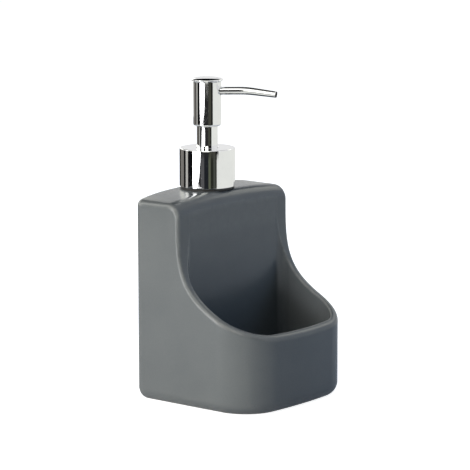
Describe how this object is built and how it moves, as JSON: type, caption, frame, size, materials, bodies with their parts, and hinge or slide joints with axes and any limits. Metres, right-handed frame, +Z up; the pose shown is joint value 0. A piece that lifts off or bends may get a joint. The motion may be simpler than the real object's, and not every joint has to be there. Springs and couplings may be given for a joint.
{
  "type": "dish soap dispenser",
  "caption": "Glazed soap dispenser with a tall rear tank, a low sponge pocket in front under swooping side walls, and a chrome press pump with a swivelling spout.",
  "frame": {"origin": "middle of the flat base, on the surface that the dispenser stands on", "axes": "+Z up along the pump, -Y towards the sponge pocket in front, +X to the right seen from the front"},
  "size_m": [0.1006, 0.0917, 0.186],
  "materials": {
    "grey_glaze": "satin glaze",
    "chrome": "polished plating",
    "white_plastic": "moulded",
    "milky_plastic": "moulded, milky",
    "black_plastic": "moulded",
    "black_rubber": "smooth",
    "steel": "bright"
  },
  "bodies": {
    "bottle": {"ceramic_body": "grey_glaze", "neck_insert": "white_plastic", "neck_gasket": "black_rubber"},
    "pump": {"pump_cylinder": "white_plastic", "flange_gasket": "black_rubber", "stem_bush": "white_plastic", "stem_seal": "black_rubber", "ball_cage": "white_plastic", "dip_tube": "milky_plastic", "guide_tube": "chrome", "return_spring": "steel"},
    "collar": {"collar_shell": "chrome", "closure_nut": "white_plastic"},
    "plunger": {"piston_stem": "white_plastic", "piston": "milky_plastic"},
    "head": {"head_core": "white_plastic", "head_barrel": "chrome", "head_cap": "chrome", "spout": "chrome", "spout_liner": "black_plastic"},
    "check_ball": {"valve_ball": "steel"}
  },
  "joints": [
    {"name": "pump_lift", "type": "slide", "parent": "bottle", "child": "pump", "axis": [0, 0, 1], "range_m": [0, 0.13]},
    {"name": "collar_turn", "type": "hinge", "parent": "pump", "child": "collar", "pos_m": [0, 0.0296, 0.1219], "axis": [0, 0, 1], "continuous": true},
    {"name": "pump_press", "type": "slide", "parent": "pump", "child": "plunger", "axis": [0, 0, -1], "range_m": [0, 0.012], "stiffness_N_per_m": 250, "springref_m": -0.012, "deforming": ["return_spring"]},
    {"name": "head_swivel", "type": "hinge", "parent": "plunger", "child": "head", "pos_m": [0, 0.0296, 0.1573], "axis": [0, 0, 1], "continuous": true},
    {"name": "ball_rise", "type": "slide", "parent": "pump", "child": "check_ball", "axis": [0, 0, 1], "range_m": [0, 0.001]}
  ]
}
